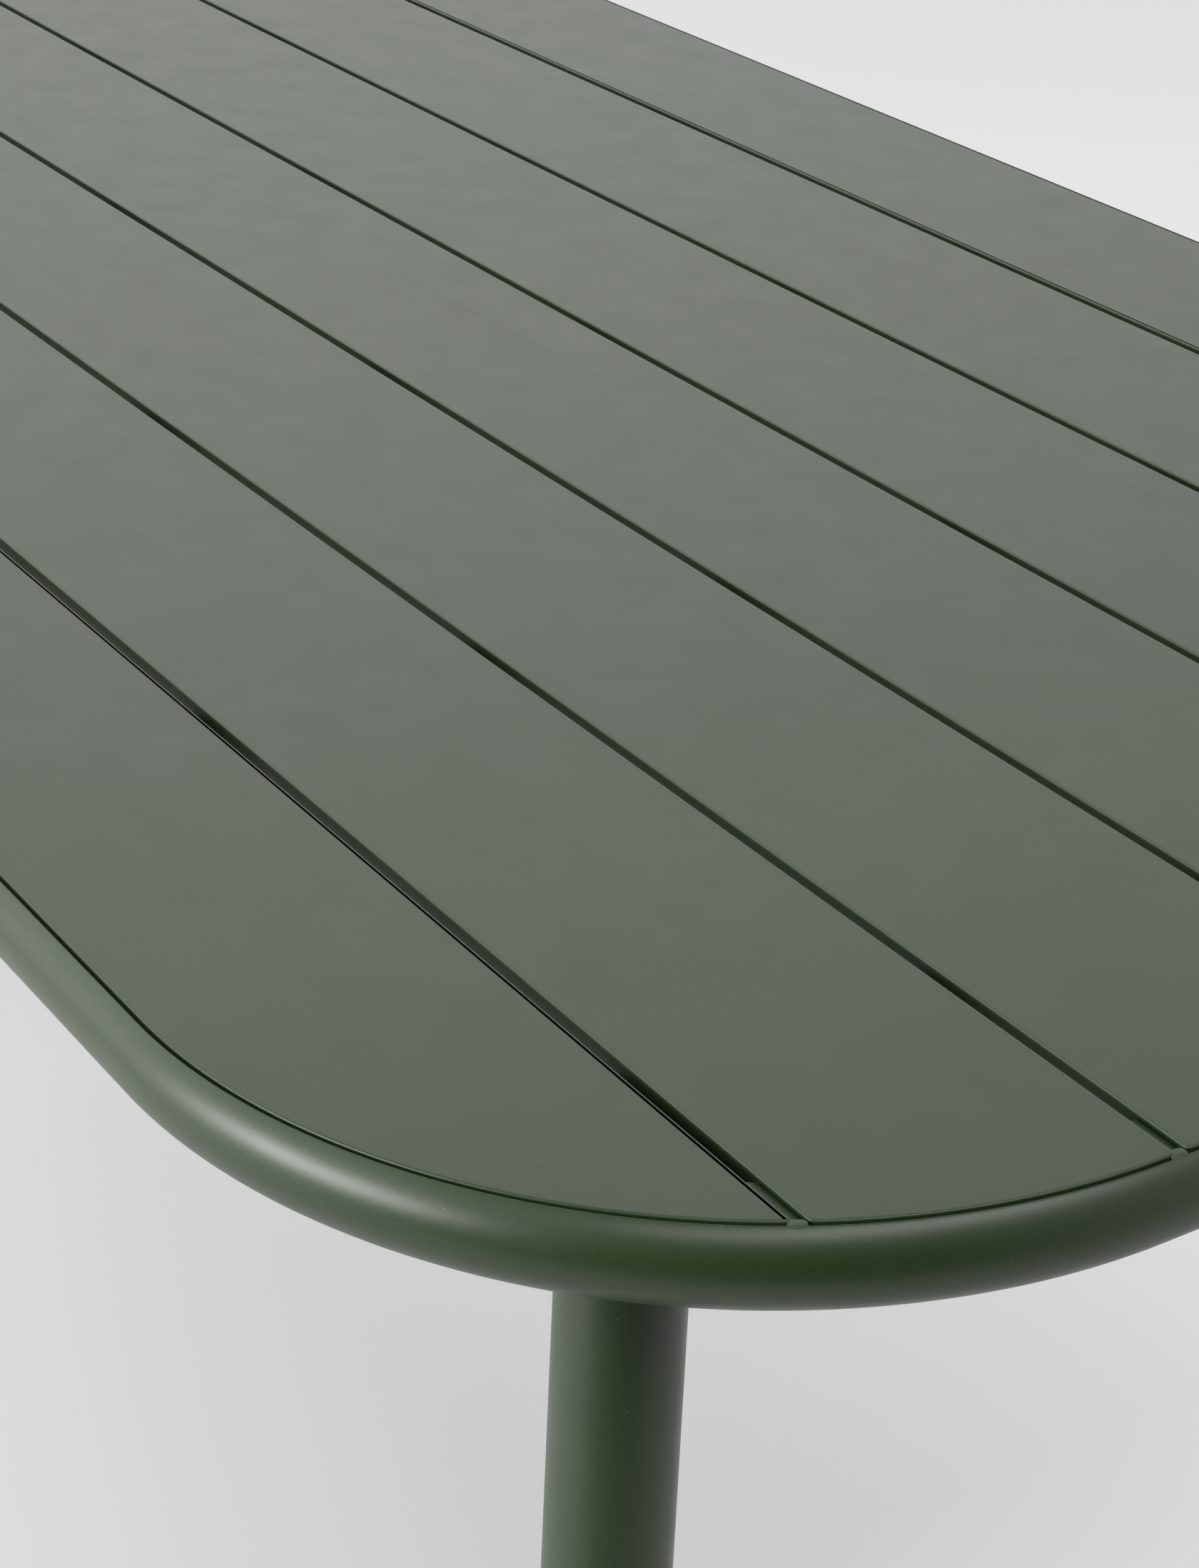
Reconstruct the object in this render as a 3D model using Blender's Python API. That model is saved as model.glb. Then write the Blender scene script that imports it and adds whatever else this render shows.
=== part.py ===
"""Backless slatted bench in welded, powder coated steel.

Seven sheet slats lie flush inside a rounded rectangular rim, each folded down along its slots.
The rim is a round tube with a rebate along its top inner side, bent into two U-shaped halves.
Round cross tubes run under the folded edges from rim to rim, and four splayed tube
legs stand under the corners on welded corner plates.

Metres, +Z up. X runs along the bench, Y across it, and the floor is z = 0.
"""
import math

import bmesh
import bpy
from mathutils import Vector

# ---- driving sizes -------------------------------------------------------------------------
SEAT_TOP = 0.450          # floor to the top of the slats
CLEAR = 0.0003            # gap left between pieces that touch

SLATS = 7
PITCH = 0.070             # slat to slat
SLAT_GAP = 0.0026         # open slot between two slats
SHEET = 0.0012            # slat sheet thickness
LIP = 0.0038              # a slot edge is folded down to this far below the top
LIP_SHORT = 0.0006        # end of a lip, clear of the rim
EDGE_BREAK = 0.0003       # rounded-off top edge of a slat

SEAM_Y = 0.2428           # centre line of the groove between slats and rim, half width
CORNER_R = 0.1342         # its corner radius
SEAM_GAP = 0.0009         # groove width

RIM_R = 0.0111            # rim tube, outer radius
RIM_WALL = 0.0020
RIM_IN = 0.0060           # rim tube axis, inboard of the seam
RIM_DROP = math.sqrt(RIM_R ** 2 - (RIM_IN + SEAM_GAP / 2) ** 2)   # axis, below the slat tops
RIM_LIP = 0.0004          # soft edge where the round meets the rebate

CROSS = 8                 # cross tubes
CROSS_PITCH = 0.1725
CROSS_END = 0.0744        # first cross tube axis to the end seam
CROSS_R = 0.0080
CROSS_WALL = 0.0015
SEAM_X = CROSS_END + CROSS_PITCH * (CROSS - 1) / 2                # seam, half length

LEG_R = 0.0125
LEG_WALL = 0.0020
LEG_LEAN = math.radians(6.4)      # outward, along the corner's diagonal
LEG_TOUCH = RIM_R + LEG_R + CLEAR                                 # leg axis to rim axis

PLATE = 0.0030            # corner plate thickness
PLATE_MARGIN = 0.0130     # plate edge, inboard of the seam
PLATE_INNER = 0.0568      # plate's straight edges, from the corner's arc centre
PLATE_ROUND = 0.0050

FOOT_FLANGE = 0.0050      # plastic glide: the part below the tube
FOOT_STEM = 0.0200        # and the part pushed up into it
FOOT_WALL = 0.0025
FOOT_EDGE = 0.0012        # sole's worn-in edge
FOOT_SOFT = 0.0002        # flange's upper edge
FOOT_TAPER = 0.0010       # stem's leading end, and the floor of its hollow

ARC_STEPS = 18            # segments in each quarter bend of the rim
RIM_STEPS = 26            # sides round the rim, outside
BORE_STEPS = 20           # and inside
CROSS_STEPS = 24          # sides of a cross tube
LEG_STEPS = 32            # sides of a leg
CUTTER_STEPS = 40         # sides of the coping cutter
PLATE_STEPS = 12          # segments in a corner plate's arc
ROUND_STEPS = 5           # and in each of its rounded corners
MERGE = 1e-6              # closer than this is one point
SHARP = math.radians(30)  # edges sharper than this stay crisp

COAT_COLOUR, COAT_ROUGHNESS = (0.115, 0.135, 0.105), 0.55
PLASTIC_COLOUR, PLASTIC_ROUGHNESS = (0.02, 0.02, 0.02), 0.6


# ---- helpers -------------------------------------------------------------------------------
def clear_scene():
    for item in list(bpy.data.objects):
        bpy.data.objects.remove(item, do_unlink=True)


def principled(name, colour, roughness):
    mat = bpy.data.materials.new(name)
    mat.use_nodes = True
    shader = mat.node_tree.nodes["Principled BSDF"]
    shader.inputs["Base Color"].default_value = (*colour, 1.0)
    shader.inputs["Roughness"].default_value = roughness
    return mat


def to_object(name, bm, mat, smooth=True):
    """Finish a bmesh as one object with outward faces and its own copy of a material."""
    bmesh.ops.remove_doubles(bm, verts=bm.verts, dist=MERGE)
    bmesh.ops.recalc_face_normals(bm, faces=bm.faces)
    mesh = bpy.data.meshes.new(name)
    bm.to_mesh(mesh)
    bm.free()
    if smooth:
        mesh.shade_smooth()
        mesh.set_sharp_from_angle(angle=SHARP)
    own = mat.copy()
    own.name = name
    mesh.materials.append(own)
    obj = bpy.data.objects.new(name, mesh)
    bpy.context.scene.collection.objects.link(obj)
    return obj


def ring_faces(bm, rings, closed=False):
    """Join successive loops of vertices with quads."""
    pairs = list(zip(rings, rings[1:]))
    if closed:
        pairs.append((rings[-1], rings[0]))
    for a, b in pairs:
        for i in range(len(a)):
            j = (i + 1) % len(a)
            bm.faces.new((a[i], a[j], b[j], b[i]))


def annulus(bm, outer, inner):
    """Close a tube's end: the flat ring between an outer and an inner loop."""
    edges = []
    for loop in (outer, inner):
        for i in range(len(loop)):
            pair = (loop[i], loop[(i + 1) % len(loop)])
            edges.append(bm.edges.get(pair) or bm.edges.new(pair))
    bmesh.ops.triangle_fill(bm, use_beauty=True, use_dissolve=False, edges=edges)


# ---- the rim -------------------------------------------------------------------------------
def seam_path(start_x):
    """Half of the seam curve, round the +X end: (point, outward normal) in plan."""
    cx, cy = SEAM_X - CORNER_R, SEAM_Y - CORNER_R
    path = [((start_x, -SEAM_Y), (0.0, -1.0))]
    for centre, first in (((cx, -cy), -90), ((cx, cy), 0)):
        for i in range(ARC_STEPS + 1):
            a = math.radians(first + 90 * i / ARC_STEPS)
            n = (math.cos(a), math.sin(a))
            path.append(((centre[0] + CORNER_R * n[0], centre[1] + CORNER_R * n[1]), n))
    path.append(((start_x, SEAM_Y), (0.0, 1.0)))
    return path


def arc_points(radius, first, last, steps):
    """Points on the tube's circle, as (outward, up) from the seam, angle from the top."""
    out = []
    for i in range(steps + 1):
        a = math.radians(first + (last - first) * i / steps)
        out.append((-RIM_IN + radius * math.sin(a), -RIM_DROP + radius * math.cos(a)))
    return out


def rim_profiles():
    """Outside and bore of the rim's section: a round tube with a rebate for the slats."""
    ledge = -(SHEET + CLEAR)
    wall = SEAM_GAP / 2
    inner_end = 360 - math.degrees(math.acos((ledge + RIM_DROP) / RIM_R))
    lip_start = math.degrees(math.asin((wall + RIM_LIP + RIM_IN) / RIM_R))
    outside = [(wall, ledge), (wall, -0.75 * RIM_LIP), (wall + 0.3 * RIM_LIP, -0.25 * RIM_LIP)]
    outside += arc_points(RIM_R, lip_start, inner_end, RIM_STEPS)
    bore_r, roof = RIM_R - RIM_WALL, ledge - RIM_WALL
    a = math.degrees(math.acos((roof + RIM_DROP) / bore_r))
    bore = arc_points(bore_r, a, 360 - a, BORE_STEPS)
    return outside, bore


def swept(bm, profile, path, closed=False):
    rings = []
    for (px, py), (nx, ny) in path:
        rings.append([bm.verts.new((px + nx * o, py + ny * o, SEAT_TOP + z)) for o, z in profile])
    ring_faces(bm, rings, closed)
    return rings


def make_rim(name, turn, mat):
    """One U-shaped half of the rim, open at both ends, where it is butt-welded to the other."""
    bm = bmesh.new()
    path = seam_path(CLEAR / 2)
    outside, bore = rim_profiles()
    outer = swept(bm, outside, path)
    inner = swept(bm, bore, path)
    for k in (0, -1):
        annulus(bm, outer[k], inner[k])
    if turn:
        for v in bm.verts:
            v.co.x, v.co.y = -v.co.x, -v.co.y
    return to_object(name, bm, mat)


def rim_cutter():
    """A full ring a little fatter than the rim, used to cope the cross tubes' ends."""
    half = seam_path(0.0)[1:-1]
    path = half + [((-p[0], -p[1]), (-n[0], -n[1])) for p, n in half]
    bm = bmesh.new()
    profile = arc_points(RIM_R + CLEAR, 0, 360 - 360 / CUTTER_STEPS, CUTTER_STEPS - 1)
    swept(bm, profile, path, closed=True)
    cutter = to_object("cutter_rim", bm, principled("cutter", COAT_COLOUR, COAT_ROUGHNESS), smooth=False)
    cutter.hide_render = True
    cutter.display_type = "WIRE"
    return cutter


# ---- slats ---------------------------------------------------------------------------------
def slat_outline(y0, y1):
    """Plan outline of the strip y0..y1 of the seat, cut off by the rounded rectangle."""
    half_x, half_y = SEAM_X - SEAM_GAP / 2, SEAM_Y - SEAM_GAP / 2
    radius = CORNER_R - SEAM_GAP / 2
    cx, cy = half_x - radius, half_y - radius

    def end_x(y):
        over = min(max(abs(y) - cy, 0.0), radius)
        return cx + math.sqrt(radius ** 2 - over ** 2)

    stops = {y0, y1}
    steps = 2 * ARC_STEPS
    for i in range(steps + 1):
        y = cy + radius * math.sin(math.radians(90 * i / steps))
        for s in (-1, 1):
            if y0 + CLEAR < s * y < y1 - CLEAR:
                stops.add(s * y)
    ys = sorted(stops)
    right = [(end_x(y), y) for y in ys]
    left = [(-x, y) for x, y in reversed(right)]
    return right + left


def inset(outline, distance):
    """The outline moved inwards by a distance, its corners mitred."""
    moved = []
    for i, (x, y) in enumerate(outline):
        before, after = outline[i - 1], outline[(i + 1) % len(outline)]
        a = Vector((x - before[0], y - before[1])).normalized()
        b = Vector((after[0] - x, after[1] - y)).normalized()
        step = distance / (1 + a.dot(b))
        moved.append((x - (a.y + b.y) * step, y + (a.x + b.x) * step))
    return moved


def lip_reach(y):
    """Half length of the lip at y, which stops just clear of the rim beside its lower edge."""
    over = max(abs(y) - (SEAM_Y - CORNER_R), 0.0)
    rho = CORNER_R - RIM_IN - math.sqrt(RIM_R ** 2 - (RIM_DROP - LIP) ** 2) - LIP_SHORT
    return SEAM_X - CORNER_R + math.sqrt(rho ** 2 - over ** 2)


def make_slat(name, index, mat):
    """A strip of sheet, its top edge just broken, with a lip folded down along each slot."""
    middle = (index - (SLATS - 1) / 2) * PITCH
    y0, y1 = middle - (PITCH - SLAT_GAP) / 2, middle + (PITCH - SLAT_GAP) / 2
    if index == 0:
        y0 = -SEAM_Y + SEAM_GAP / 2
    if index == SLATS - 1:
        y1 = SEAM_Y - SEAM_GAP / 2
    outline = slat_outline(y0, y1)
    lips = []
    if index < SLATS - 1:
        half = len(outline) // 2
        lips.append((half, -SHEET))
        outline[half:half] = [(lip_reach(y1), y1), (-lip_reach(y1), y1)]
    if index > 0:
        lips.append((len(outline), SHEET))
        outline += [(-lip_reach(y0), y0), (lip_reach(y0), y0)]

    profile = [(0.0, -SHEET), (0.0, -EDGE_BREAK),
               (0.3 * EDGE_BREAK, -0.3 * EDGE_BREAK), (EDGE_BREAK, 0.0)]
    bm = bmesh.new()
    rings = [[bm.verts.new((x, y, SEAT_TOP + z)) for x, y in inset(outline, distance)]
             for distance, z in profile]
    ring_faces(bm, rings)
    bm.faces.new(rings[-1])
    under = list(rings[0])
    for first, inward in reversed(lips):
        start, end = rings[0][first], rings[0][first + 1]
        back = [bm.verts.new(v.co + Vector((0, inward, 0))) for v in (end, start)]
        head = [start, end] + back
        foot = [bm.verts.new((v.co.x, v.co.y, SEAT_TOP - LIP)) for v in head]
        ring_faces(bm, [head, foot])
        bm.faces.new(foot)
        under[first + 1:first + 1] = back[::-1]
    bm.faces.new(under)
    return to_object(name, bm, mat, smooth=False)


# ---- cross tubes ---------------------------------------------------------------------------
def make_cross(name, x, cutter, mat):
    """A tube across the bench under the slats; the boolean copes both ends to the rim."""
    z = SEAT_TOP - LIP - CLEAR - CROSS_R
    over = max(abs(x) - (SEAM_X - CORNER_R), 0.0)
    axis_r = CORNER_R - RIM_IN
    reach = SEAM_Y - CORNER_R + math.sqrt(axis_r ** 2 - over ** 2)
    bm = bmesh.new()
    rings = []
    for radius in (CROSS_R, CROSS_R - CROSS_WALL):
        rings.append([[bm.verts.new((x + radius * math.cos(a), y, z + radius * math.sin(a)))
                       for a in (2 * math.pi * (i + 0.5) / CROSS_STEPS for i in range(CROSS_STEPS))]
                      for y in (-reach, reach)])
        ring_faces(bm, rings[-1])
    for k in (0, 1):
        annulus(bm, rings[0][k], rings[1][k])
    tube = to_object(name, bm, mat)
    cope = tube.modifiers.new("cope", "BOOLEAN")
    cope.operation = "DIFFERENCE"
    cope.solver = "EXACT"
    cope.object = cutter
    return tube


# ---- legs, corner plates and feet ----------------------------------------------------------
def corner_frame(sx, sy):
    """Arc centre of one corner in plan, and the unit diagonal pointing out of it."""
    centre = Vector((sx * (SEAM_X - CORNER_R), sy * (SEAM_Y - CORNER_R), 0.0))
    return centre, Vector((sx, sy, 0.0)).normalized()


def leg_axis(sx, sy):
    """A point on the leg's axis at rim-axis height, and its unit direction (downwards)."""
    centre, diagonal = corner_frame(sx, sy)
    radial = CORNER_R - RIM_IN - LEG_TOUCH / math.cos(LEG_LEAN)
    point = centre + diagonal * radial + Vector((0, 0, SEAT_TOP - RIM_DROP))
    direction = (diagonal * math.sin(LEG_LEAN) - Vector((0, 0, math.cos(LEG_LEAN)))).normalized()
    return point, direction


def leaning_ring(bm, point, direction, radius, z):
    """The cylinder of this radius about a leaning axis, cut by the level plane at z."""
    side = direction.cross(Vector((0, 0, 1))).normalized()
    front = side.cross(direction).normalized()
    ring = []
    for i in range(LEG_STEPS):
        a = 2 * math.pi * i / LEG_STEPS
        p = point + side * (radius * math.cos(a)) + front * (radius * math.sin(a))
        ring.append(bm.verts.new(p + direction * ((z - p.z) / direction.z)))
    return ring


def plate_top():
    return SEAT_TOP - RIM_DROP - RIM_R - CLEAR


def make_leg(name, sx, sy, mat):
    """A leaning tube, both ends cut level, open at the top and the bottom."""
    point, direction = leg_axis(sx, sy)
    high = plate_top() - PLATE - CLEAR
    low = FOOT_FLANGE + CLEAR
    bm = bmesh.new()
    loops = [[leaning_ring(bm, point, direction, r, z) for z in (high, low)]
             for r in (LEG_R, LEG_R - LEG_WALL)]
    for pair in loops:
        ring_faces(bm, pair)
    for k in (0, 1):
        annulus(bm, loops[0][k], loops[1][k])
    return to_object(name, bm, mat)


def make_plate(name, sx, sy, mat):
    """Flat corner plate, welded up under the rim and the end cross tube."""
    centre, _ = corner_frame(sx, sy)
    radius = CORNER_R - PLATE_MARGIN
    first = math.asin(PLATE_INNER / radius)
    last = math.pi / 2 - first
    outline = [(PLATE_INNER, PLATE_INNER)]
    for i in range(PLATE_STEPS + 1):
        a = first + (last - first) * i / PLATE_STEPS
        outline.append((radius * math.cos(a), radius * math.sin(a)))
    top = plate_top()
    bm = bmesh.new()
    loop = [bm.verts.new((centre.x + sx * x, centre.y + sy * y, top)) for x, y in outline]
    corners = [loop[0], loop[1], loop[-1]]
    spots = [c.co.copy() for c in corners]
    face = bm.faces.new(loop)
    lowered = bmesh.ops.extrude_face_region(bm, geom=[face])["geom"]
    bmesh.ops.translate(bm, verts=[g for g in lowered if isinstance(g, bmesh.types.BMVert)],
                        vec=(0, 0, -PLATE))
    posts = [e for e in bm.edges
             if abs(e.verts[0].co.z - e.verts[1].co.z) > PLATE / 2
             and any((e.verts[0].co.xy - s.xy).length < MERGE for s in spots)]
    bmesh.ops.bevel(bm, geom=posts, offset=PLATE_ROUND, segments=ROUND_STEPS, affect="EDGES",
                    profile=0.5, clamp_overlap=True)
    return to_object(name, bm, mat)


def make_foot(name, sx, sy, mat):
    """Plastic glide: a flat foot with a hollow stem that presses up into the leg."""
    point, direction = leg_axis(sx, sy)
    stem_r = LEG_R - LEG_WALL - CLEAR
    stem_top = FOOT_FLANGE + FOOT_STEM
    stack = [
        (LEG_R - FOOT_EDGE, 0.0), (LEG_R - FOOT_EDGE / 3, FOOT_EDGE / 3), (LEG_R, FOOT_EDGE),
        (LEG_R, FOOT_FLANGE - FOOT_SOFT), (LEG_R - FOOT_SOFT, FOOT_FLANGE),
        (stem_r, FOOT_FLANGE), (stem_r, stem_top - FOOT_TAPER), (stem_r - FOOT_TAPER, stem_top),
        (stem_r - FOOT_WALL, stem_top), (stem_r - FOOT_WALL, FOOT_FLANGE + FOOT_TAPER),
    ]
    bm = bmesh.new()
    rings = [leaning_ring(bm, point, direction, r, z) for r, z in stack]
    ring_faces(bm, rings)
    bm.faces.new(rings[0])
    bm.faces.new(rings[-1])
    return to_object(name, bm, mat)


# ---- build ---------------------------------------------------------------------------------
def main():
    clear_scene()
    coat = principled("powder_coat", COAT_COLOUR, COAT_ROUGHNESS)
    plastic = principled("glide_plastic", PLASTIC_COLOUR, PLASTIC_ROUGHNESS)

    make_rim("rim_half_px", False, coat)
    make_rim("rim_half_nx", True, coat)
    for i in range(SLATS):
        make_slat(f"slat_{i + 1}", i, coat)

    cutter = rim_cutter()
    for i in range(CROSS):
        x = (i - (CROSS - 1) / 2) * CROSS_PITCH
        make_cross(f"cross_tube_{i + 1}", x, cutter, coat)

    for sx, sy, tag in ((1, -1, "px_ny"), (1, 1, "px_py"), (-1, -1, "nx_ny"), (-1, 1, "nx_py")):
        make_plate(f"corner_plate_{tag}", sx, sy, coat)
        make_leg(f"leg_{tag}", sx, sy, coat)
        make_foot(f"foot_{tag}", sx, sy, plastic)


main()
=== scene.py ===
# %% [markdown]
# # A backless bench in powder coated steel
# Seven sheet slats sit flush inside a bent tube rim. Cross tubes carry them from below, and four
# leaning tube legs stand under the corners. The engineering model gives every piece its place and
# size. This script adds what the eye reads: rounded edges, welds, the paint and the studio.

# %% Load the engineering model
import math

import bpy
import numpy as np
from mathutils import Matrix, Vector


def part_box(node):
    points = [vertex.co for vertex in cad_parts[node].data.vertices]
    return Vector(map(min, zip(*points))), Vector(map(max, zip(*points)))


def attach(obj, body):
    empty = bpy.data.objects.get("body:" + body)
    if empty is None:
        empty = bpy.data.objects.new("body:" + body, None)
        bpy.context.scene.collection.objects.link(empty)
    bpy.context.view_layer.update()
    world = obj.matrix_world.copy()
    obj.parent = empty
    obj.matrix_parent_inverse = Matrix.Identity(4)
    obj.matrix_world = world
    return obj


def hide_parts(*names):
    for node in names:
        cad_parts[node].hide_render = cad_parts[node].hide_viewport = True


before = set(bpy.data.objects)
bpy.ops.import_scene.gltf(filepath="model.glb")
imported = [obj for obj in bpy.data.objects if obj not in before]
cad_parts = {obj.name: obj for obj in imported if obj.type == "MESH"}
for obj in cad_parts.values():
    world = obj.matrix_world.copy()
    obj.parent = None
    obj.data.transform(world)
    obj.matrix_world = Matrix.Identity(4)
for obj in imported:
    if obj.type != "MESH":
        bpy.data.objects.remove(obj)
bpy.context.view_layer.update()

print("nodes:", len(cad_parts))

# %% [markdown]
# ## Sizes
# Places are read from the model's boxes. The few sizes that a box can't give, such as a bend's
# radius or a wall that leans, are named here in metres, as the drawing has them.

# %% Sizes of the seat
SLATS = 7
CROSS_TUBES = 8
CORNERS = {"px_ny": (1, -1), "px_py": (1, 1), "nx_ny": (-1, -1), "nx_py": (-1, 1)}

SEAM_GAP = 0.0009         # groove between slats and rim
CORNER_R = 0.1342         # groove's centre line in the corners
RIM_R = 0.0111            # rim tube
RIM_IN = 0.0060           # its axis, inboard of the groove
CLEAR = 0.0003            # what touching pieces keep between them
SHEET = 0.0012            # the slats' sheet
LIP_INTO = 0.0025         # how far a folded lip's welded end runs into the rim
CROSS_R = 0.0080          # cross tube
PLATE_MARGIN = 0.0130     # corner plate's arc, inboard of the groove

rim_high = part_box("rim_half_px")[1]
slat_low, slat_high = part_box("slat_4")
SEAT_TOP = slat_high.z
LIP = slat_high.z - slat_low.z
SEAM_X = slat_high.x + SEAM_GAP / 2
SEAM_Y = rim_high.y - RIM_R + RIM_IN
RIM_DROP = math.sqrt(RIM_R ** 2 - (RIM_IN + SEAM_GAP / 2) ** 2)
ARC_X, ARC_Y = SEAM_X - CORNER_R, SEAM_Y - CORNER_R
print(f"seat {2 * SEAM_X:.3f} x {2 * SEAM_Y:.3f} m at {SEAT_TOP:.3f} m, lips {1000 * LIP:.1f} mm")

# %% [markdown]
# ## One way to make every skin
# A piece is a grid of points: rows run along it and columns run round it. Turning the grid into
# quads is the same job each time, so one function does it for slats, tubes, welds and feet.

# %% From a grid of points to a closed mesh
def skin(name, points, wrap_rows=False, caps=True, sharp=35):
    """A closed skin from points[row, column].

    Column j joins column j + 1, and the last joins the first. Rows do the same when wrap_rows
    is set; if not, caps closes the first and the last row with one flat face each.
    """
    rows, columns = points.shape[:2]
    number = np.arange(rows * columns).reshape(rows, columns)
    here = number if wrap_rows else number[:-1]
    after = np.roll(number, -1, axis=0) if wrap_rows else number[1:]
    quads = np.stack([here, np.roll(here, -1, 1), np.roll(after, -1, 1), after], axis=-1)
    faces = quads.reshape(-1, 4).tolist()
    if caps and not wrap_rows:
        faces += [number[0, ::-1].tolist(), number[-1].tolist()]
    mesh = bpy.data.meshes.new(name)
    mesh.from_pydata(points.reshape(-1, 3), [], faces)
    corners = points.reshape(-1, 3)[quads.reshape(-1, 4)]
    middle = points.reshape(-1, 3).mean(0)
    a, b, c, d = (corners[:, k] - middle for k in range(4))
    volume = (np.cross(a, b) * c).sum() + (np.cross(a, c) * d).sum()
    if volume < 0:
        mesh.flip_normals()
    mesh.shade_smooth()
    mesh.set_sharp_from_angle(angle=math.radians(sharp))
    mesh.update()
    piece = bpy.data.objects.new(name, mesh)
    bpy.context.scene.collection.objects.link(piece)
    return piece


def join(name, pieces):
    """Several skins as one object, each still closed."""
    places, corners, sizes, start = [], [], [], 0
    for piece in pieces:
        mesh = piece.data
        place = np.empty(3 * len(mesh.vertices))
        corner = np.empty(len(mesh.loops), dtype=int)
        size = np.empty(len(mesh.polygons), dtype=int)
        mesh.vertices.foreach_get("co", place)
        mesh.loops.foreach_get("vertex_index", corner)
        mesh.polygons.foreach_get("loop_total", size)
        places.append(place.reshape(-1, 3))
        corners.append(corner + start)
        sizes.append(size)
        start += len(mesh.vertices)
    ends = np.cumsum(np.concatenate(sizes))[:-1]
    faces = [face.tolist() for face in np.split(np.concatenate(corners), ends)]
    mesh = bpy.data.meshes.new(name)
    mesh.from_pydata(np.concatenate(places), [], faces)
    mesh.shade_smooth()
    mesh.set_sharp_from_angle(angle=math.radians(35))
    for piece in pieces:
        bpy.data.objects.remove(piece)
    joined = bpy.data.objects.new(name, mesh)
    bpy.context.scene.collection.objects.link(joined)
    return joined


# %% [markdown]
# ## Paint
# Powder coat is a plastic skin baked onto the steel. Its colour is a very dark green, and most
# of the grey seen on the seat is the white studio mirrored in its satin surface. Close up it has
# a faint orange-peel texture, and the sheet under it is never perfectly flat. In the narrow slots
# the paint is rougher, and its mirror is turned down as painted shade, so the slots read darker.

# %% Node helpers
def node(tree, kind, **settings):
    """Add a shader node, with its settings and its inputs' values by name."""
    made = tree.nodes.new(kind)
    for key, value in settings.items():
        if key in made.inputs:
            made.inputs[key].default_value = value
        else:
            setattr(made, key, value)
    return made


def noise(tree, where, scale, detail=2.0, roughness=0.5):
    """A noise pattern whose grains are 1 / scale metres apart."""
    made = node(tree, "ShaderNodeTexNoise", Scale=scale, Detail=detail, Roughness=roughness)
    tree.links.new(where, made.inputs["Vector"])
    return made.outputs["Fac"]


def spread(tree, value, low, high, start=0.25, end=0.75):
    """Stretch start..end of a pattern to low..high."""
    made = node(tree, "ShaderNodeMapRange")
    for key, number in (("From Min", start), ("From Max", end), ("To Min", low), ("To Max", high)):
        made.inputs[key].default_value = number
    tree.links.new(value, made.inputs["Value"])
    return made.outputs["Result"]


def bump(tree, height, depth, under=None):
    """Turn a pattern into relief; depth is its height in metres."""
    made = node(tree, "ShaderNodeBump", Strength=1.0, Distance=depth)
    tree.links.new(height, made.inputs["Height"])
    if under is not None:
        tree.links.new(under, made.inputs["Normal"])
    return made.outputs["Normal"]


# %% The powder coat
COAT_DARK = (0.0138, 0.0285, 0.0078, 1.0)
COAT_LIGHT = (0.0203, 0.0368, 0.0124, 1.0)
COAT_SPECK = (0.0900, 0.1100, 0.0750, 1.0)
SPECK_CELL = 0.0040       # one place for a speck in each cell of this size
SPECK_R = 0.00014
SPECK_SHARE = 0.35        # share of the cells that hold one
SLOT_SHADE_SPECULAR = 0.22      # painted shade: the slots' paint mirrors less so they read darker


def specks(tree, where):
    """1 in sparse fine dots, 0 elsewhere: near a cell's centre, in a share of the cells."""
    cells = node(tree, "ShaderNodeTexVoronoi", Scale=1 / SPECK_CELL)
    tree.links.new(where, cells.inputs["Vector"])
    near = node(tree, "ShaderNodeMath", operation="LESS_THAN")
    near.inputs[1].default_value = SPECK_R / SPECK_CELL
    tree.links.new(cells.outputs["Distance"], near.inputs[0])
    chosen = node(tree, "ShaderNodeMath", operation="LESS_THAN")
    chosen.inputs[1].default_value = SPECK_SHARE
    tree.links.new(cells.outputs["Color"], chosen.inputs[0])
    both = node(tree, "ShaderNodeMath", operation="MULTIPLY")
    tree.links.new(near.outputs[0], both.inputs[0])
    tree.links.new(chosen.outputs[0], both.inputs[1])
    return both.outputs[0]


def powder_coat(name, peel, wave, roughness=0.38):
    """Satin green powder coat. peel is the texture's depth and wave the sheet's unevenness."""
    mat = bpy.data.materials.new(name)
    mat.use_nodes = True
    tree = mat.node_tree
    shader = tree.nodes["Principled BSDF"]
    where = node(tree, "ShaderNodeTexCoord").outputs["Object"]

    colour = node(tree, "ShaderNodeMix", data_type="RGBA")
    colour.inputs[6].default_value = COAT_DARK
    colour.inputs[7].default_value = COAT_LIGHT
    tree.links.new(spread(tree, noise(tree, where, 1400.0, 3.0), 0.0, 1.0), colour.inputs[0])
    speckled = node(tree, "ShaderNodeMix", data_type="RGBA")
    speckled.inputs[7].default_value = COAT_SPECK
    tree.links.new(colour.outputs[2], speckled.inputs[6])
    tree.links.new(specks(tree, where), speckled.inputs[0])
    tree.links.new(speckled.outputs[2], shader.inputs["Base Color"])

    satin = spread(tree, noise(tree, where, 60.0, 4.0), roughness - 0.025, roughness + 0.025)
    tree.links.new(satin, shader.inputs["Roughness"])
    shader.inputs["IOR"].default_value = 1.5

    relief = bump(tree, noise(tree, where, 22.0, 1.0), wave)
    relief = bump(tree, noise(tree, where, 700.0, 2.0), peel, relief)
    tree.links.new(relief, shader.inputs["Normal"])
    return mat


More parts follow.
